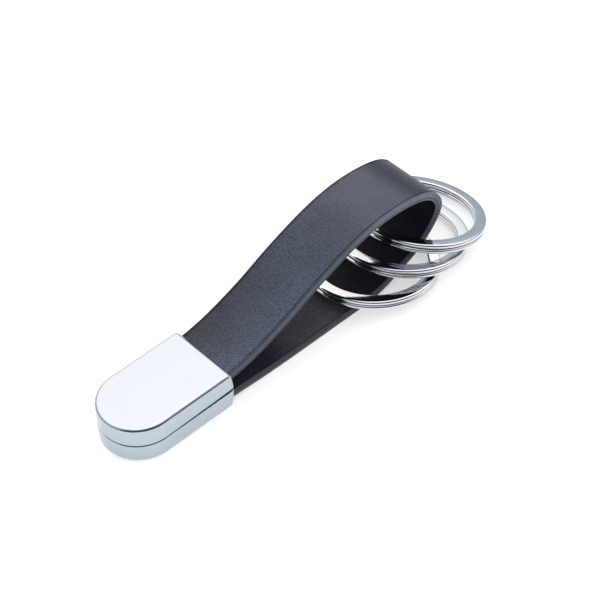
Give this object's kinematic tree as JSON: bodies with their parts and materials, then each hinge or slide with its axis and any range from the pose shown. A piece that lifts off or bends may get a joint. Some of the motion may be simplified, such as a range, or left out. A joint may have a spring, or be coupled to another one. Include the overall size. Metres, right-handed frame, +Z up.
{
  "type": "key organiser",
  "caption": "Leather loop held at both ends in a flat metal snap clasp with a round nose, with split rings for keys threaded on the loop.",
  "frame": {"origin": "underside of the clasp's lower half, below the axis of the snap stud, which is also the centre of the clasp's round nose", "axes": "+X from the clasp to the split rings, along the length; +Z up, from the underside to the top face of the clasp; +Y across the strap"},
  "size_m": [0.103, 0.0314, 0.0228],
  "materials": {
    "clasp_metal": "satin",
    "ring_metal": "polished",
    "spring_steel": "satin",
    "plain_steel": "satin",
    "leather_face": "fine grain",
    "leather_lining": "smooth",
    "tape": "woven",
    "nylon": "matt"
  },
  "bodies": {
    "lower_half": {"clasp_lower_shell": "clasp_metal", "clasp_lower_plate": "clasp_metal", "lower_screw_1": "plain_steel", "lower_screw_2": "plain_steel", "lower_screw_3": "plain_steel", "snap_stud": "spring_steel", "spacer_washer": "nylon", "strap_outer_leather": "leather_face", "strap_core_tape": "tape", "strap_lining_leather": "leather_lining"},
    "upper_half": {"clasp_upper_shell": "clasp_metal", "clasp_upper_plate": "clasp_metal", "upper_screw_1": "plain_steel", "upper_screw_2": "plain_steel", "upper_screw_3": "plain_steel", "snap_socket": "plain_steel", "snap_spring": "spring_steel"},
    "ring_1": {"split_ring_1": "ring_metal"},
    "ring_2": {"split_ring_2": "ring_metal"},
    "ring_3": {"split_ring_3": "ring_metal"}
  },
  "joints": [
    {"name": "clasp_lift", "type": "slide", "parent": "lower_half", "child": "upper_half", "axis": [0, 0, 1], "range_m": [0, 0.01], "deforming": ["strap_outer_leather", "strap_core_tape", "strap_lining_leather", "snap_spring"]},
    {"name": "ring_1_spin", "type": "hinge", "parent": "lower_half", "child": "ring_1", "pos_m": [0.0798, 0.0005, 0.00572], "axis": [0.2667, 0.0628, 0.9617], "continuous": true},
    {"name": "ring_2_spin", "type": "hinge", "parent": "lower_half", "child": "ring_2", "pos_m": [0.0734, -0.00025, 0.0042], "axis": [0.1836, 0.0576, 0.9813], "continuous": true},
    {"name": "ring_3_spin", "type": "hinge", "parent": "lower_half", "child": "ring_3", "pos_m": [0.064, -0.00085, 0.00288], "axis": [0.1061, 0.0541, 0.9929], "continuous": true}
  ]
}
